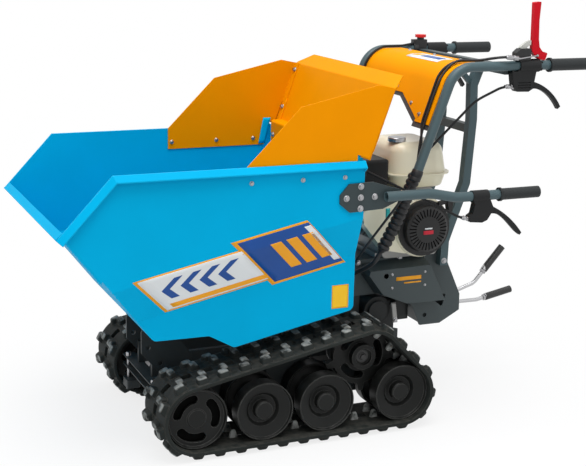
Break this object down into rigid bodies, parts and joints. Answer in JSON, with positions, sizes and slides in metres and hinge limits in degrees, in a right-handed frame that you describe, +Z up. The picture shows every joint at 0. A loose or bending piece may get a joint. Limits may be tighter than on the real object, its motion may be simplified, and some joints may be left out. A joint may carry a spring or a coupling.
{
  "type": "tracked mini dumper",
  "caption": "Walk-behind tracked mini dumper: open steel skip tipping forward on a front hinge, rubber tracks, open engine, handlebar with levers.",
  "frame": {"origin": "on the ground under the middle of the overall box", "axes": "+X forward (skip end), +Y left, +Z up"},
  "size_m": [1.539, 0.7136, 1.1722],
  "materials": {
    "black_plastic": "matt black",
    "blue_paint": "satin blue powder coat",
    "cast_metal": "cast, satin",
    "cream_paint": "gloss cream enamel",
    "grey_paint": "satin anthracite powder coat",
    "orange_paint": "satin orange powder coat",
    "red_plastic": "satin red",
    "rubber": "matt moulded rubber",
    "zinc": "bright zinc"
  },
  "bodies": {
    "frame": {"air_cleaner": "black_plastic", "axle_tubes": "grey_paint", "bar_grips": "black_plastic", "bar_yoke": "grey_paint", "belt_cover": "grey_paint", "brake_lever": "red_plastic", "chassis_rails": "grey_paint", "clutch_levers": "black_plastic", "control_cables": "black_plastic", "cross_tube": "grey_paint", "drive_axle": "zinc", "engine_block": "cast_metal", "engine_deck": "grey_paint", "fan_shroud": "cream_paint", "filler_cap": "zinc", "front_cross_member": "grey_paint", "front_uprights": "grey_paint", "fuel_tank": "cream_paint", "gear_levers": "zinc", "gearbox": "grey_paint", "handlebar_left": "grey_paint", "handlebar_right": "grey_paint", "hinge_pin": "zinc", "hood": "orange_paint", "hood_frame": "grey_paint", "idler_left": "grey_paint", "idler_right": "grey_paint", "muffler": "grey_paint", "rear_floor": "grey_paint", "rear_plates": "grey_paint", "rear_uprights": "grey_paint", "recoil_cover": "black_plastic", "rest_buffers": "black_plastic", "road_wheels_left": "grey_paint", "road_wheels_right": "grey_paint", "sprocket_left": "grey_paint", "sprocket_right": "grey_paint", "stop_box": "black_plastic", "throttle_lever": "cream_paint", "track_frame_left": "grey_paint", "track_frame_right": "grey_paint", "track_left": "rubber", "track_right": "rubber", "upright_cross_bar": "grey_paint", "wheel_pins_left": "zinc", "wheel_pins_right": "zinc", "wrapped_bundle": "black_plastic"},
    "tub": {"guard_rear_panel": "orange_paint", "guard_side_left": "orange_paint", "guard_side_right": "orange_paint", "tip_cable": "black_plastic", "tip_grip": "black_plastic", "tip_lever": "black_plastic", "tip_plate": "grey_paint", "tip_tube": "grey_paint", "tub_floor": "blue_paint", "tub_hinge_lugs": "grey_paint", "tub_side_left": "blue_paint", "tub_side_right": "blue_paint"}
  },
  "joints": [
    {"name": "tub_tip", "type": "hinge", "parent": "frame", "child": "tub", "pos_m": [0.462, 0, 0.3], "axis": [0, 1, 0], "range_deg": [0, 70]}
  ]
}
